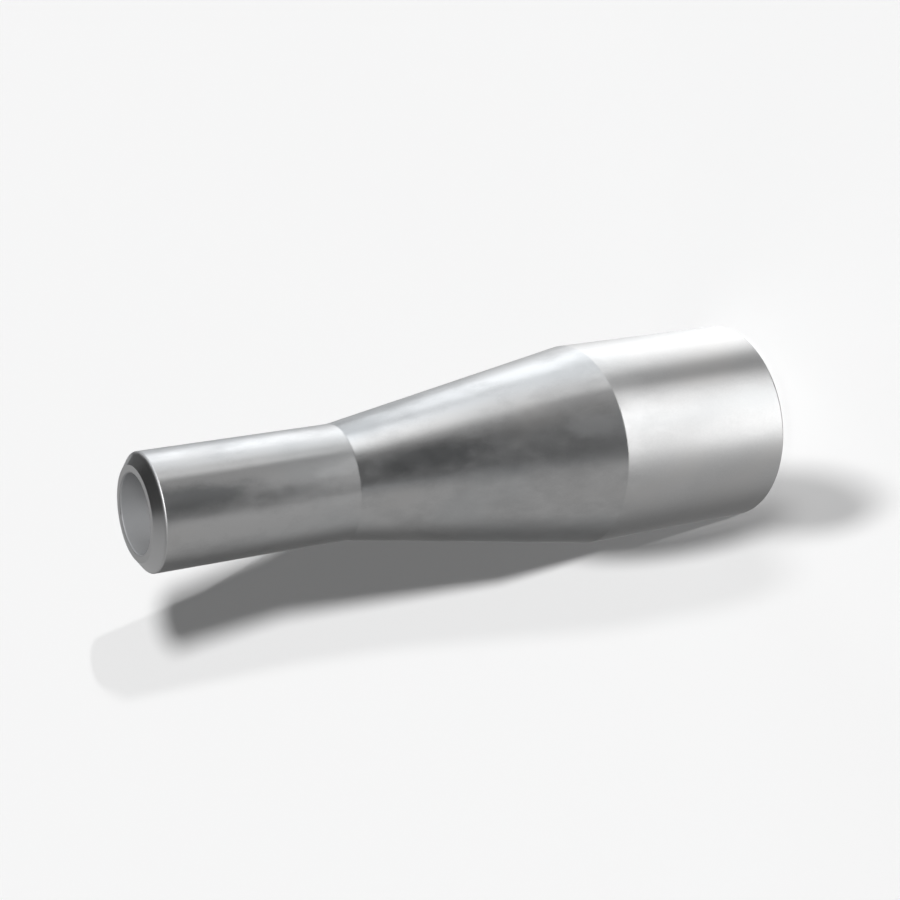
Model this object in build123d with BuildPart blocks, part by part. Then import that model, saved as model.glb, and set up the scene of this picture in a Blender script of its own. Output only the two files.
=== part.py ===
from build123d import *
import os
from math import atan2, radians, tan

# Butt-weld swage nipple, NPS 2 down to NPS 1, in millimetres.
# It stands on its large end: +Z runs up its axis towards the small end,
# and the origin is the centre of the large end's face.

# Outside
large_outside_diameter = 60.3
small_outside_diameter = 33.4
large_end_length = 60.0
cone_length = 80.0
small_end_length = 60.0

# Pipe wall at each end, measured square to the surface
large_wall = 5.54
small_wall = 5.54

# Weld preparation: a flat land beside the bore, then a bevel out to the pipe wall
large_land_width = 2.2
small_land_width = 2.2
large_bevel_angle = 37.5
small_bevel_angle = 37.5

# Soft edges
swage_bend_radius = 3.0
bevel_edge_radius = 0.7
bore_mouth_radius = 0.4

# Radii, from the bore outwards
large_radius = large_outside_diameter / 2
small_radius = small_outside_diameter / 2
large_bore_radius = large_radius - large_wall
small_bore_radius = small_radius - small_wall
large_land_radius = large_bore_radius + large_land_width
small_land_radius = small_bore_radius + small_land_width

# Heights on the outside, from the large end's face upwards
large_bevel_height = (large_radius - large_land_radius) * tan(radians(large_bevel_angle))
shoulder_height = large_end_length
neck_height = shoulder_height + cone_length
small_face_height = neck_height + small_end_length
small_bevel_depth = (small_radius - small_land_radius) * tan(radians(small_bevel_angle))
small_bevel_height = small_face_height - small_bevel_depth

# The wall keeps its thickness round each bend, so each bend in the bore
# lies a little nearer the large end than the bend outside it
cone_half_angle = atan2(large_radius - small_radius, cone_length)
bend_setback = tan(cone_half_angle / 2)
bore_shoulder_height = shoulder_height - large_wall * bend_setback
bore_neck_height = neck_height - small_wall * bend_setback

with BuildPart() as swage_nipple:
    # Half section through the wall, to be turned about the axis
    with BuildSketch(Plane.XZ) as wall_section:
        with BuildLine():
            Polyline(
                (large_bore_radius, 0),
                (large_land_radius, 0),
                (large_radius, large_bevel_height),
                (large_radius, shoulder_height),
                (small_radius, neck_height),
                (small_radius, small_bevel_height),
                (small_land_radius, small_face_height),
                (small_bore_radius, small_face_height),
                (small_bore_radius, bore_neck_height),
                (large_bore_radius, bore_shoulder_height),
                close=True,
            )
        make_face()

        # Swaging leaves a soft bend at the shoulder and the neck, inside and out
        levels = wall_section.vertices().group_by(Axis.Y)
        bends = [corner for level in levels[2:-2] for corner in level]
        fillet(bends, radius=swage_bend_radius)

        # The bevel's outer edge is eased where it meets the pipe wall
        levels = wall_section.vertices().group_by(Axis.Y)
        fillet(levels[1] + levels[-2], radius=bevel_edge_radius)

        # The mouth of the bore is deburred at each end
        levels = wall_section.vertices().group_by(Axis.Y)
        bore_mouths = [face.sort_by(Axis.X)[0] for face in (levels[0], levels[-1])]
        fillet(bore_mouths, radius=bore_mouth_radius)
    revolve(axis=Axis.Z)

swage_nipple.part.label = "swage_nipple"

os.makedirs("parts", exist_ok=True)
export_step(swage_nipple.part, "parts/swage_nipple.step")
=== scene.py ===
import bpy
from math import cos, degrees, radians, sin
from mathutils import Matrix, Vector


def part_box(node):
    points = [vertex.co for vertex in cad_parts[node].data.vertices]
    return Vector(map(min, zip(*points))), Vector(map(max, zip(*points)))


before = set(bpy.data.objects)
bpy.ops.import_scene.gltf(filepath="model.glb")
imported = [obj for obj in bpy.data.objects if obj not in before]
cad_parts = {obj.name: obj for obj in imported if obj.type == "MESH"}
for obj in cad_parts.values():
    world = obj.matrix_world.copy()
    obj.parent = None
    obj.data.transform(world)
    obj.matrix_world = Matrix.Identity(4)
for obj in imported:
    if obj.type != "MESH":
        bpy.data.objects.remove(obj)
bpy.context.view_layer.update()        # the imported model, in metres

nipple = bpy.data.objects["swage_nipple"]
print("frame loaded:", nipple.name, len(nipple.data.polygons), "faces")


# small helpers for nodes and objects

def addNode(tree, kind, **settings):
    node = tree.nodes.new(kind)
    for name, value in settings.items():
        setattr(node, name, value)
    return node


def plug(tree, value, socket):
    # a number, a tuple or another node's output goes into the socket
    if isinstance(value, bpy.types.NodeSocket):
        tree.links.new(value, socket)
    else:
        socket.default_value = value


def calc(tree, operation, first, second=0.0):
    node = addNode(tree, "ShaderNodeMath", operation=operation)
    plug(tree, first, node.inputs[0])
    plug(tree, second, node.inputs[1])
    return node.outputs[0]


def total(tree, *values):
    result = values[0]
    for value in values[1:]:
        result = calc(tree, "ADD", result, value)
    return result


def ramp(tree, value, low, high, outLow=0.0, outHigh=1.0, smooth=True):
    node = addNode(tree, "ShaderNodeMapRange")
    node.interpolation_type = "SMOOTHSTEP" if smooth else "LINEAR"
    plug(tree, value, node.inputs["Value"])
    plug(tree, low, node.inputs["From Min"])
    plug(tree, high, node.inputs["From Max"])
    plug(tree, outLow, node.inputs["To Min"])
    plug(tree, outHigh, node.inputs["To Max"])
    return node.outputs["Result"]


def blendNumber(tree, share, first, second):
    node = addNode(tree, "ShaderNodeMix", data_type="FLOAT")
    plug(tree, share, node.inputs[0])
    plug(tree, first, node.inputs[2])
    plug(tree, second, node.inputs[3])
    return node.outputs[0]


def blendColour(tree, share, first, second):
    node = addNode(tree, "ShaderNodeMix", data_type="RGBA")
    plug(tree, share, node.inputs[0])
    plug(tree, first, node.inputs[6])
    plug(tree, second, node.inputs[7])
    return node.outputs[2]


def aim(azimuth, elevation):
    # the direction that these two angles give, in degrees
    azimuth, elevation = radians(azimuth), radians(elevation)
    return Vector((cos(elevation) * cos(azimuth), cos(elevation) * sin(azimuth), sin(elevation)))


def placeObject(name, data):
    thing = bpy.data.objects.new(name, data)
    bpy.context.scene.collection.objects.link(thing)
    return thing


def flatMesh(name, corners):
    mesh = bpy.data.meshes.new(name)
    mesh.from_pydata([(x, y, 0.0) for x, y in corners], [], [tuple(range(len(corners)))])
    return mesh


def groupOf(name, member):
    group = bpy.data.collections.new(name)
    group.objects.link(member)
    return group


# studio: what the steel mirrors

studio = {
    "background": 0.9216,            # pale grey sheet behind and under the part
    "roomGlow": 0.029,               # the dark side of the room
    "wallGlow": 0.421,               # the pale side
    "wallAzimuth": 160.5,
    "wallElevation": -3.0,
    "wallBlend": 0.058,
}
white = (1.0, 1.0, 1.0, 1.0)

# where the light turns a little cool
coolSides = {
    "frontSide": dict(azimuth=30.0, elevation=-4.0, width=42.0, height=20.0, edge=10.0, slope=0.0),
    "nearSide": dict(azimuth=-88.0, elevation=-12.0, width=26.0, height=14.0, edge=8.0, slope=0.0),
}
coolLight = (0.955, 0.995, 1.035, 1.0)

# azimuth and elevation of each panel's middle, its half width and half height,
# and how soft its edge is, all in degrees; slope tilts it, glow is its brightness,
# and a later panel stands in front of an earlier one
panels = {
    "keyBox": dict(azimuth=20.8, elevation=-34.0, width=41.5, height=18.8,
                   edge=23.5, slope=0.03, glow=1.61),
    "fillBox": dict(azimuth=56.2, elevation=-46.0, width=24.8, height=9.6,
                    edge=7.2, slope=0.02, glow=2.21),
    "frontBox": dict(azimuth=-88.7, elevation=-40.2, width=62.6, height=9.2,
                     edge=4.5, slope=0.21, glow=3.00),
    "horizonStrip": dict(azimuth=-57.1, elevation=0.9, width=56.0, height=7.7,
                         edge=3.5, slope=-0.10, glow=2.97),
    "darkWing": dict(azimuth=133.4, elevation=-21.2, width=33.9, height=23.1,
                     edge=22.4, slope=-0.07, glow=0.15),
    "frontFlag": dict(azimuth=-77.8, elevation=-9.2, width=37.8, height=24.0,
                      edge=3.5, slope=0.01, glow=0.02),
    "keyFlag": dict(azimuth=32.4, elevation=-4.9, width=18.6, height=12.8,
                    edge=3.6, slope=-0.08, glow=0.02),
    "sideFlag": dict(azimuth=-17.6, elevation=-46.9, width=29.5, height=15.7,
                     edge=5.5, slope=-0.51, glow=0.32),
    "keyCore": dict(azimuth=25.4, elevation=-29.4, width=13.6, height=14.3,
                    edge=3.7, slope=-0.12, glow=1.98),
    "tallCard": dict(azimuth=73.0, elevation=59.6, width=10.2, height=40.2,
                     edge=6.9, slope=0.02, glow=1.22),
    "ceiling": dict(azimuth=0.0, elevation=90.0, width=200.0, height=56.0,
                    edge=9.0, slope=0.0, glow=0.03),
    "slantCard": dict(azimuth=168.0, elevation=60.0, width=68.0, height=23.0,
                      edge=7.0, slope=0.75, glow=0.45),
    "topStrip": dict(azimuth=12.6, elevation=8.2, width=28.8, height=8.8,
                     edge=6.4, slope=0.33, glow=1.95),
    "footStrip": dict(azimuth=-56.1, elevation=-34.5, width=20.7, height=3.0,
                      edge=3.5, slope=0.0, glow=3.00),
    "cornerCard": dict(azimuth=-145.3, elevation=-50.6, width=27.7, height=11.6,
                       edge=12.0, slope=-0.02, glow=0.58),
    "slitStrip": dict(azimuth=-77.4, elevation=-11.0, width=35.3, height=3.0,
                      edge=3.5, slope=-0.11, glow=1.33),
    "gapFlag": dict(azimuth=-38.2, elevation=-19.7, width=7.8, height=11.9,
                    edge=5.1, slope=0.07, glow=0.11),
    "upperFlag": dict(azimuth=-78.2, elevation=-2.8, width=30.0, height=11.4,
                      edge=3.6, slope=-0.08, glow=0.02),
}


def softEdge(tree, away, reach, edge):
    # one inside the reach and nothing outside it; away is in radians, the others in degrees
    return ramp(tree, away, radians(reach - edge), radians(reach + edge), 1.0, 0.0)


def panelMask(tree, direction, panel):
    # turn the direction so that the panel's middle is at azimuth zero
    turn = addNode(tree, "ShaderNodeVectorRotate", rotation_type="Z_AXIS")
    plug(tree, direction, turn.inputs["Vector"])
    turn.inputs["Angle"].default_value = radians(-panel["azimuth"])
    parts = addNode(tree, "ShaderNodeSeparateXYZ")
    plug(tree, turn.outputs[0], parts.inputs[0])
    azimuth = calc(tree, "ARCTAN2", parts.outputs[1], parts.outputs[0])
    elevation = calc(tree, "ARCSINE", parts.outputs[2])
    middle = calc(tree, "MULTIPLY_ADD", azimuth, panel["slope"])
    middle.node.inputs[2].default_value = radians(panel["elevation"])
    aside = calc(tree, "ABSOLUTE", azimuth)
    above = calc(tree, "ABSOLUTE", calc(tree, "SUBTRACT", elevation, middle))
    across = softEdge(tree, aside, panel["width"], panel["edge"])
    along = softEdge(tree, above, panel["height"], panel["edge"])
    return calc(tree, "MULTIPLY", across, along)


def buildStudio():
    world = bpy.data.worlds.new("studio")
    bpy.context.scene.world = world
    world.use_nodes = True
    tree = world.node_tree
    tree.nodes.clear()
    direction = addNode(tree, "ShaderNodeTexCoord").outputs["Generated"]
    facing = addNode(tree, "ShaderNodeVectorMath", operation="DOT_PRODUCT")
    plug(tree, direction, facing.inputs[0])
    facing.inputs[1].default_value = aim(studio["wallAzimuth"], studio["wallElevation"])
    blend = studio["wallBlend"]
    glow = ramp(tree, facing.outputs["Value"], -blend, blend, studio["roomGlow"], studio["wallGlow"])
    for panel in panels.values():
        glow = blendNumber(tree, panelMask(tree, direction, panel), glow, panel["glow"])
    colour = white
    for side in coolSides.values():
        colour = blendColour(tree, panelMask(tree, direction, side), colour, coolLight)
    light = addNode(tree, "ShaderNodeBackground")
    plug(tree, colour, light.inputs["Color"])
    plug(tree, glow, light.inputs["Strength"])
    # the camera sees only the pale sheet
    sheet = addNode(tree, "ShaderNodeBackground")
    sheet.inputs["Color"].default_value = white
    sheet.inputs["Strength"].default_value = studio["background"]
    rays = addNode(tree, "ShaderNodeLightPath")
    pick = addNode(tree, "ShaderNodeMixShader")
    plug(tree, rays.outputs["Is Camera Ray"], pick.inputs[0])
    plug(tree, light.outputs[0], pick.inputs[1])
    plug(tree, sheet.outputs[0], pick.inputs[2])
    end = addNode(tree, "ShaderNodeOutputWorld")
    plug(tree, pick.outputs[0], end.inputs["Surface"])


buildStudio()
print("studio built:", len(panels), "panels")


# floor and the lamps that cast the part's shadows on it

floor = {
    "reach": 8.0,                    # half the sheet's side, metres
    "colour": (0.90, 0.90, 0.90, 1.0),
}

# where each lamp stands and how wide it looks, in degrees
shadowLamps = {
    "mainLamp": dict(azimuth=-82.9, elevation=19.9, strength=6.58, angle=1.8),
    "faintLamp": dict(azimuth=-82.0, elevation=16.0, strength=1.52, angle=0.25),
}


def buildFloor():
    reach = floor["reach"]
    mesh = flatMesh("paperSheet", [(-reach, -reach), (reach, -reach), (reach, reach), (-reach, reach)])
    sheet = placeObject("paperSheet", mesh)
    paper = bpy.data.materials.new("paper")
    paper.use_nodes = True
    skin = paper.node_tree.nodes["Principled BSDF"]
    skin.inputs["Base Color"].default_value = floor["colour"]
    skin.inputs["Roughness"].default_value = 1.0
    skin.inputs["Specular IOR Level"].default_value = 0.0
    mesh.materials.append(paper)
    sheet.visible_glossy = False     # the steel mirrors the studio instead
    sheet.visible_shadow = False
    return sheet


def buildShadowLamps(sheet):
    # they light the sheet alone, so the part keeps the plain light of the studio
    lit = groupOf("litByShadowLamps", sheet)
    for name, values in shadowLamps.items():
        lamp = bpy.data.lights.new(name, "SUN")
        lamp.energy = values["strength"]
        lamp.angle = radians(values["angle"])
        stand = placeObject(name, lamp)
        towards = aim(values["azimuth"], values["elevation"])
        stand.rotation_euler = towards.to_track_quat("Z", "Y").to_euler()
        stand.visible_glossy = False
        stand.light_linking.receiver_collection = lit
        stand.light_linking.blocker_collection = groupOf("inTheWayOf" + name, nipple)


# thin nets stand in the lamps' light, and each dims a patch of the sheet; the patch is in
# millimetres on the sheet, distance is in metres from it towards the lamp, and lets is the
# share of the light that comes through
ovalNets = {
    "sideNet": dict(lamp="mainLamp", distance=0.28, lets=0.31,
                    middle=(-27.5, -20.0), across=10.5, along=45.0, turn=-3.0),
    "footNet": dict(lamp="mainLamp", distance=0.28, lets=0.0,
                    middle=(-34.0, 45.0), across=9.0, along=68.0, turn=3.0),
}
ovalCorners = 48
bandNet = {
    "lamp": "faintLamp",
    "distance": 2.0,
    "lets": 0.0,
    "corners": [(-36, -16), (-53, -18), (-60, 10), (-69, 90), (-78, 250), (-88, 370), (-118, 646),
                (-113, 684), (-96, 696), (-82, 680), (-70, 500), (-50, 250), (-38, 60)],
}


def hangNet(name, corners, lamp, distance, lets):
    mesh = flatMesh(name, [(x / 1000.0, y / 1000.0) for x, y in corners])
    net = placeObject(name, mesh)
    cloth = bpy.data.materials.new(name)
    cloth.use_nodes = True
    tree = cloth.node_tree
    tree.nodes.clear()
    holes = addNode(tree, "ShaderNodeBsdfTransparent")
    holes.inputs["Color"].default_value = (lets, lets, lets, 1.0)
    end = addNode(tree, "ShaderNodeOutputMaterial")
    plug(tree, holes.outputs[0], end.inputs["Surface"])
    mesh.materials.append(cloth)
    values = shadowLamps[lamp]
    net.location = aim(values["azimuth"], values["elevation"]) * distance
    # nothing sees the net, and it holds back its own lamp alone
    net.visible_camera = False
    net.visible_diffuse = False
    net.visible_glossy = False
    net.visible_transmission = False
    bpy.data.collections["inTheWayOf" + lamp].objects.link(net)


def ovalOutline(net):
    slant = radians(net["turn"])
    corners = []
    for step in range(ovalCorners):
        angle = radians(360.0 * step / ovalCorners)
        x, y = net["across"] * cos(angle), net["along"] * sin(angle)
        corners.append((net["middle"][0] + x * cos(slant) - y * sin(slant),
                        net["middle"][1] + x * sin(slant) + y * cos(slant)))
    return corners


def buildNets():
    for name, net in ovalNets.items():
        hangNet(name, ovalOutline(net), net["lamp"], net["distance"], net["lets"])
    hangNet("bandNet", bandNet["corners"], bandNet["lamp"], bandNet["distance"], bandNet["lets"])


# a soft box for the part alone
overheadBox = {
    "azimuth": -70.0,
    "elevation": 32.0,
    "distance": 0.9,                 # metres from the point it looks at
    "aimHeight": 0.15,               # metres up the part's axis
    "width": 0.80,
    "height": 0.30,
    "power": 6.8,
}


def buildOverheadBox():
    lamp = bpy.data.lights.new("overheadBox", "AREA")
    lamp.shape = "RECTANGLE"
    lamp.size = overheadBox["width"]
    lamp.size_y = overheadBox["height"]
    lamp.energy = overheadBox["power"]
    stand = placeObject("overheadBox", lamp)
    towards = aim(overheadBox["azimuth"], overheadBox["elevation"])
    target = Vector((0.0, 0.0, overheadBox["aimHeight"]))
    stand.location = target + towards * overheadBox["distance"]
    stand.rotation_euler = towards.to_track_quat("Z", "Y").to_euler()
    # kept off the sheet, which the shadow lamps light
    lit = groupOf("litByOverheadBox", nipple)
    stand.light_linking.receiver_collection = lit
    stand.light_linking.blocker_collection = lit


buildShadowLamps(buildFloor())
buildNets()
buildOverheadBox()
print("floor and lamps placed, nets:", len(ovalNets) + 1)


# camera, at the photograph's viewing angle

view = {
    "lens": 75.843,                  # millimetres
    "frameWidth": 36.0,
    "nearest": 0.01,                 # metres, where its sight starts
    "farthest": 50.0,                # and ends
    "dip": 28.7668,                  # degrees below level
    "roll": 98.8213,                 # degrees, clockwise
    "pictureWidth": 900,
    "smallEndPixel": (134.73, 514.16),
    "smallEndDepth": 0.508235,       # metres along the line of sight
}


def placeCamera():
    camera = placeObject("camera", bpy.data.cameras.new("camera"))
    camera.data.lens = view["lens"]
    camera.data.sensor_width = view["frameWidth"]
    camera.data.clip_start = view["nearest"]
    camera.data.clip_end = view["farthest"]
    tilt = Matrix.Rotation(radians(90.0 - view["dip"]), 3, "X")
    pose = tilt @ Matrix.Rotation(radians(-view["roll"]), 3, "Z")
    right, up, back = pose.col
    # step back from the small end until it sits at its place in the picture
    focal = view["lens"] / view["frameWidth"] * view["pictureWidth"]
    middle = view["pictureWidth"] / 2
    depth = view["smallEndDepth"]
    across = (view["smallEndPixel"][0] - middle) / focal * depth
    down = (view["smallEndPixel"][1] - middle) / focal * depth
    smallEnd = Vector((0.0, 0.0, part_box("swage_nipple")[1][2]))
    camera.matrix_world = pose.to_4x4()
    camera.location = smallEnd - right * across + up * down + back * depth
    bpy.context.scene.camera = camera
    print("camera at", [round(v, 4) for v in camera.location])


placeCamera()


# bare steel

# where the part's surfaces lie, millimetres
section = {
    "largeRadius": 30.15,
    "smallRadius": 16.70,
    "coneFoot": 60.0,
    "coneTop": 140.0,
    "length": 200.0,
    "wall": 5.54,
    "bevelDepth": 2.75,              # from each end's face down to the plain cylinder
    "rimDepth": 2.50,                # and down to the bevel's eased rim
    "mouthEase": 0.40,               # the rounding of the bore's mouths
}

# soft patches: those at turns from -91 to -20 degrees, facing the camera, are painted shade and
# painted highlight laid on the steel's reflections, the far ones are marks from handling; height in
# millimetres, turn round the part in degrees, how far each reaches along and round, and how strong it
# is; brighter ones take the light colour
smudgesAndPaintedLight = {
    "neckPaintedShade": dict(height=194.0, turn=-84.0, along=30.0, round=19.0, share=1.00, brighter=False),
    "bandPaintedShade": dict(height=162.0, turn=-91.0, along=13.0, round=8.0, share=0.50, brighter=False),
    "conePaintedShade": dict(height=120.0, turn=-81.0, along=24.0, round=15.0, share=0.92, brighter=False),
    "footPaintedHighlight": dict(height=68.5, turn=-79.0, along=12.0, round=12.0, share=1.00, brighter=True),
    "kneePaintedHighlight": dict(height=58.0, turn=-73.0, along=13.0, round=42.0, share=0.35, brighter=True),
    "farSmudge": dict(height=96.0, turn=74.0, along=34.0, round=26.0, share=0.45, brighter=False),
    "lowSmudge": dict(height=34.0, turn=150.0, along=14.0, round=34.0, share=0.40, brighter=False),
    "neckPaintedHighlight": dict(height=188.0, turn=-20.0, along=24.0, round=18.0, share=0.45, brighter=True),
    "farRub": dict(height=158.0, turn=118.0, along=20.0, round=30.0, share=0.50, brighter=True),
}

# how the skin varies: size is in millimetres round the part, stretch makes it longer along
# the part, and seed moves it elsewhere
variations = {
    "cloud": dict(size=13.0, detail=4.0, roughness=0.55, stretch=1.8, seed=1.3),
    "mottle": dict(size=5.2, detail=4.0, roughness=0.6, stretch=1.8, seed=15.0),
    "fleck": dict(size=2.6, detail=3.0, roughness=0.55, stretch=1.6, seed=7.0),
    "hammer": dict(size=16.0, detail=3.0, stretch=0.25, seed=5.0),    # marks from swaging
    "tint": dict(size=20.0, detail=1.0, stretch=1.8, seed=11.0),
    "grain": dict(size=0.50, detail=1.0, stretch=1.5, seed=2.0),
    "wave": dict(size=18.0, detail=1.0, stretch=2.0, seed=9.0),
    "wander": dict(size=1.6, seed=4.0),                               # of the bevel's edge
    "pits": dict(size=0.8, detail=3.0, seed=3.0),                     # in the bore
}
seedStep = (1.0, 0.37, 0.71)         # where a seed of one moves it

steel = {
    # the drawn and swaged outside
    "skinColour": (0.592, 0.592, 0.592, 1.0),
    "dullColour": (0.498, 0.499, 0.500, 1.0),
    "dullness": 0.38,                # how much of the dull colour there is on the whole
    "cloudDull": 1.2,                # and how far each variation swings that
    "mottleDull": 0.66,
    "grainDull": 0.28,
    "coolColour": (0.550, 0.563, 0.570, 1.0),
    "coolFrom": (0.52, 0.70),        # the tint's values between which it comes in
    "coolShare": 0.45,
    "warmColour": (0.588, 0.581, 0.574, 1.0),
    "warmFrom": (0.30, 0.48),        # and between which it goes out
    "warmShare": 0.6,
    "roughness": 0.293,
    "leastRoughness": 0.278,
    "cloudRough": 0.06,              # how far each variation swings the roughness
    "fleckRough": 0.025,
    "hammerRough": 0.016,
    "grainRough": 0.020,
    "waveHeight": 0.045,             # bump heights in millimetres
    "hammerHeight": 0.0010,
    "grainHeight": 0.00012,
    "swagedShare": 1.75,             # how strong cloud, mottle, fleck, hammer and wave are where
    "plainShare": 0.35,              # the pipe was swaged, and on its plain large end
    "swagedFrom": (-6.0, 2.0),       # millimetres from the cone's foot, between the two
    # patches: smudges and painted shade take the dark colour, rubs and painted highlight the light one
    "smudgeAndShadeColour": (0.330, 0.334, 0.338, 1.0),
    "rubAndHighlightColour": (0.780, 0.780, 0.780, 1.0),
    "patchCore": 0.25,              # the share of its reach that has its full strength
    "patchRagged": 0.55,
    # the turned bevels and lands
    "turnedColour": (0.590, 0.592, 0.596, 1.0),
    "turnedRoughness": 0.285,
    "turnedEdge": 0.12,              # how soft and how wavy the edge is, millimetres
    "ringPitch": 0.18,
    "ringRough": 0.03,
    "ringHeight": 0.0004,
    # worn edges
    "wornColour": (0.620, 0.621, 0.623, 1.0),
    "wornShare": 0.7,
    "wornRoughness": 0.52,
    "wornReach": (0.45, 0.1),        # millimetres from the edge, where the wear ends and is full
    "wornBreak": 0.15,               # and how far the flecks break it up
    # the bore keeps its dull grey film
    "boreColour": (0.420, 0.426, 0.436, 1.0),
    "boreFrom": (-0.35, -0.15),      # millimetres from the wall's inside, where it starts and is full
    "boreDullFrom": (0.3, 0.7),      # the cloud's values between which it turns dull
    "boreDullShare": 0.5,
    "boreMetal": 0.40,
    "boreRoughness": 0.58,
    "boreRough": 0.06,
    "pitHeight": 0.003,
}


def noise(tree, place, size, detail=2.0, roughness=0.5, stretch=1.0, seed=0.0):
    scale = addNode(tree, "ShaderNodeVectorMath", operation="MULTIPLY_ADD")
    plug(tree, place, scale.inputs[0])
    scale.inputs[1].default_value = (1 / size, 1 / size, 1 / (size * stretch))
    scale.inputs[2].default_value = [seed * step for step in seedStep]
    node = addNode(tree, "ShaderNodeTexNoise")
    plug(tree, scale.outputs[0], node.inputs["Vector"])
    node.inputs["Scale"].default_value = 1.0
    node.inputs["Detail"].default_value = detail
    node.inputs["Roughness"].default_value = roughness
    return node.outputs["Fac"]


def ringNoise(tree, radius):
    # fine rings about the axis, as a turning tool leaves them
    node = addNode(tree, "ShaderNodeTexNoise", noise_dimensions="1D")
    plug(tree, radius, node.inputs["W"])
    node.inputs["Scale"].default_value = 1 / steel["ringPitch"]
    node.inputs["Detail"].default_value = 2.0
    return node.outputs["Fac"]


def swing(tree, value, amount):
    # by amount each way about zero
    return calc(tree, "MULTIPLY", calc(tree, "SUBTRACT", value, 0.5), amount * 2)


def partPlace(tree):
    # place on the part in millimetres
    place = addNode(tree, "ShaderNodeVectorMath", operation="SCALE")
    plug(tree, addNode(tree, "ShaderNodeTexCoord").outputs["Object"], place.inputs[0])
    place.inputs["Scale"].default_value = 1000.0
    return place.outputs[0]


def partSpot(tree, place, field):
    # height, turn and radius, and which surface is which
    axes = addNode(tree, "ShaderNodeSeparateXYZ")
    plug(tree, place, axes.inputs[0])
    height = axes.outputs[2]
    angle = calc(tree, "ARCTAN2", axes.outputs[1], axes.outputs[0])
    turn = calc(tree, "MULTIPLY", angle, degrees(1.0))
    flat = addNode(tree, "ShaderNodeVectorMath", operation="MULTIPLY")
    plug(tree, place, flat.inputs[0])
    flat.inputs[1].default_value = (1.0, 1.0, 0.0)
    length = addNode(tree, "ShaderNodeVectorMath", operation="LENGTH")
    plug(tree, flat.outputs[0], length.inputs[0])
    radius = length.outputs["Value"]
    outside = ramp(tree, height, section["coneFoot"], section["coneTop"],
                   section["largeRadius"], section["smallRadius"], smooth=False)
    depth = calc(tree, "SUBTRACT", outside, radius)
    boreStarts, boreFull = steel["boreFrom"]
    inBore = ramp(tree, depth, section["wall"] + boreStarts, section["wall"] + boreFull)
    fromEnd = calc(tree, "MINIMUM", height, calc(tree, "SUBTRACT", section["length"], height))
    edge = steel["turnedEdge"]
    wavyEnd = calc(tree, "ADD", fromEnd, swing(tree, field["wander"], edge))
    nearEnd = ramp(tree, wavyEnd, section["bevelDepth"] + edge, section["bevelDepth"] - edge)
    isTurned = calc(tree, "MULTIPLY", nearEnd, calc(tree, "SUBTRACT", 1.0, inBore))
    plainEnds, swagedStarts = steel["swagedFrom"]
    swaged = ramp(tree, height, section["coneFoot"] + plainEnds, section["coneFoot"] + swagedStarts,
                  steel["plainShare"], steel["swagedShare"])
    return dict(height=height, turn=turn, radius=radius, depth=depth, fromEnd=fromEnd,
                inBore=inBore, isTurned=isTurned, swaged=swaged)


def wornEdges(tree, spot, field):
    # the bevels' outer rims and the bore's mouths, broken up a little
    rim = calc(tree, "ABSOLUTE", calc(tree, "SUBTRACT", spot["fromEnd"], section["rimDepth"]))
    toWall = calc(tree, "SUBTRACT", spot["depth"], section["wall"] - section["mouthEase"] / 2)
    pastMouth = calc(tree, "SUBTRACT", spot["fromEnd"], section["mouthEase"])
    mouth = total(tree, calc(tree, "ABSOLUTE", toWall), calc(tree, "MAXIMUM", pastMouth, 0.0))
    nearest = calc(tree, "MINIMUM", rim, mouth)
    broken = total(tree, nearest, swing(tree, field["fleck"], steel["wornBreak"]))
    return ramp(tree, broken, *steel["wornReach"])


# how much of one patch lies at each place: painted shade, painted highlight or a handling mark
def patchShare(tree, spot, patchEntry, ragged):
    squares = []
    for place, middle, reach in ((spot["height"], patchEntry["height"], patchEntry["along"]),
                                 (spot["turn"], patchEntry["turn"], patchEntry["round"])):
        away = calc(tree, "DIVIDE", calc(tree, "SUBTRACT", place, middle), reach)
        squares.append(calc(tree, "POWER", calc(tree, "ABSOLUTE", away), 2.0))
    away = calc(tree, "ADD", calc(tree, "SQRT", total(tree, *squares)), ragged)
    return ramp(tree, away, 1.0, steel["patchCore"], 0.0, patchEntry["share"])


def steelColour(tree, spot, field, worn):
    patches = total(tree, swing(tree, field["cloud"], steel["cloudDull"]),
                    swing(tree, field["mottle"], steel["mottleDull"]))
    dull = total(tree, calc(tree, "MULTIPLY", patches, spot["swaged"]),
                 swing(tree, field["grain"], steel["grainDull"]), steel["dullness"])
    dull = calc(tree, "MINIMUM", calc(tree, "MAXIMUM", dull, 0.0), 1.0)
    colour = blendColour(tree, dull, steel["skinColour"], steel["dullColour"])
    cool = ramp(tree, field["tint"], *steel["coolFrom"], 0.0, steel["coolShare"])
    colour = blendColour(tree, cool, colour, steel["coolColour"])
    warm = ramp(tree, field["tint"], *steel["warmFrom"], steel["warmShare"], 0.0)
    colour = blendColour(tree, warm, colour, steel["warmColour"])
    # then the patches: painted shade and painted highlight over the reflections facing the camera,
    # handling marks on the far side
    ragged = swing(tree, field["mottle"], steel["patchRagged"])
    for patchEntry in smudgesAndPaintedLight.values():
        mark = steel["rubAndHighlightColour" if patchEntry["brighter"] else "smudgeAndShadeColour"]
        colour = blendColour(tree, patchShare(tree, spot, patchEntry, ragged), colour, mark)
    colour = blendColour(tree, spot["isTurned"], colour, steel["turnedColour"])
    wornShare = calc(tree, "MULTIPLY", worn, steel["wornShare"])
    colour = blendColour(tree, wornShare, colour, steel["wornColour"])
    boreDull = ramp(tree, field["cloud"], *steel["boreDullFrom"], 0.0, steel["boreDullShare"])
    boreColour = blendColour(tree, boreDull, steel["boreColour"], steel["dullColour"])
    return blendColour(tree, spot["inBore"], colour, boreColour)


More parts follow.
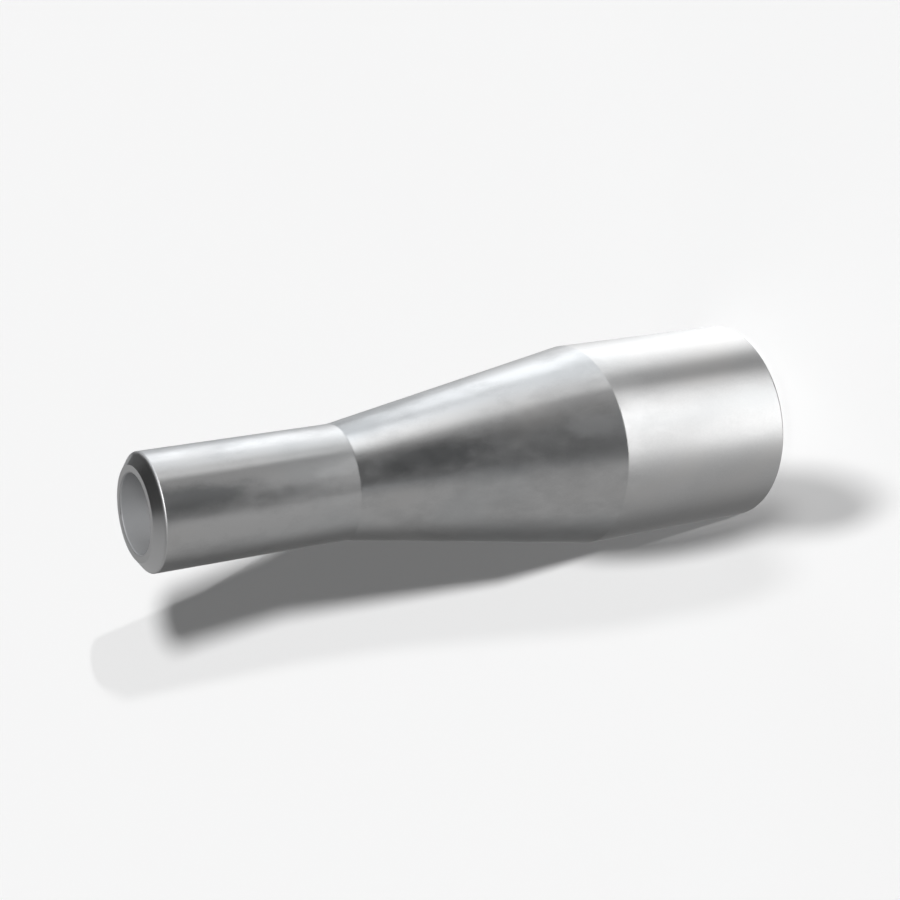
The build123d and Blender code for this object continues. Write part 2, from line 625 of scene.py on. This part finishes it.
def steelRoughness(tree, spot, field, worn, rings):
    uneven = total(tree, swing(tree, field["cloud"], steel["cloudRough"]),
                   swing(tree, field["fleck"], steel["fleckRough"]),
                   swing(tree, field["hammer"], steel["hammerRough"]))
    rough = total(tree, calc(tree, "MULTIPLY", uneven, spot["swaged"]),
                  swing(tree, field["grain"], steel["grainRough"]), steel["roughness"])
    turnedRough = total(tree, swing(tree, rings, steel["ringRough"]), steel["turnedRoughness"])
    rough = blendNumber(tree, spot["isTurned"], rough, turnedRough)
    rough = blendNumber(tree, worn, rough, steel["wornRoughness"])
    boreRough = total(tree, swing(tree, field["fleck"], steel["boreRough"]), steel["boreRoughness"])
    rough = blendNumber(tree, spot["inBore"], rough, boreRough)
    return calc(tree, "MAXIMUM", rough, steel["leastRoughness"])


def steelRelief(tree, spot, field, rings):
    waves = total(tree, swing(tree, field["wave"], steel["waveHeight"]),
                  swing(tree, field["hammer"], steel["hammerHeight"]))
    relief = total(tree, calc(tree, "MULTIPLY", waves, spot["swaged"]),
                   swing(tree, field["grain"], steel["grainHeight"]))
    relief = blendNumber(tree, spot["isTurned"], relief, swing(tree, rings, steel["ringHeight"]))
    pits = swing(tree, field["pits"], steel["pitHeight"])
    relief = blendNumber(tree, spot["inBore"], relief, pits)
    bump = addNode(tree, "ShaderNodeBump")
    bump.inputs["Strength"].default_value = 1.0
    bump.inputs["Distance"].default_value = 0.001    # the heights are in millimetres
    plug(tree, relief, bump.inputs["Height"])
    return bump.outputs[0]


def bareSteel():
    material = bpy.data.materials.new("bareSteel")
    material.use_nodes = True
    tree = material.node_tree
    skin = tree.nodes["Principled BSDF"]
    place = partPlace(tree)
    field = {name: noise(tree, place, **values) for name, values in variations.items()}
    spot = partSpot(tree, place, field)
    rings = ringNoise(tree, spot["radius"])
    worn = wornEdges(tree, spot, field)
    plug(tree, steelColour(tree, spot, field, worn), skin.inputs["Base Color"])
    plug(tree, steelRoughness(tree, spot, field, worn, rings), skin.inputs["Roughness"])
    plug(tree, blendNumber(tree, spot["inBore"], 1.0, steel["boreMetal"]), skin.inputs["Metallic"])
    plug(tree, steelRelief(tree, spot, field, rings), skin.inputs["Normal"])
    return material


material = bareSteel()
for slot in nipple.material_slots:
    slot.material = material
print("steel on", nipple.name)


# picture settings

bpy.context.scene.view_settings.view_transform = "Standard"
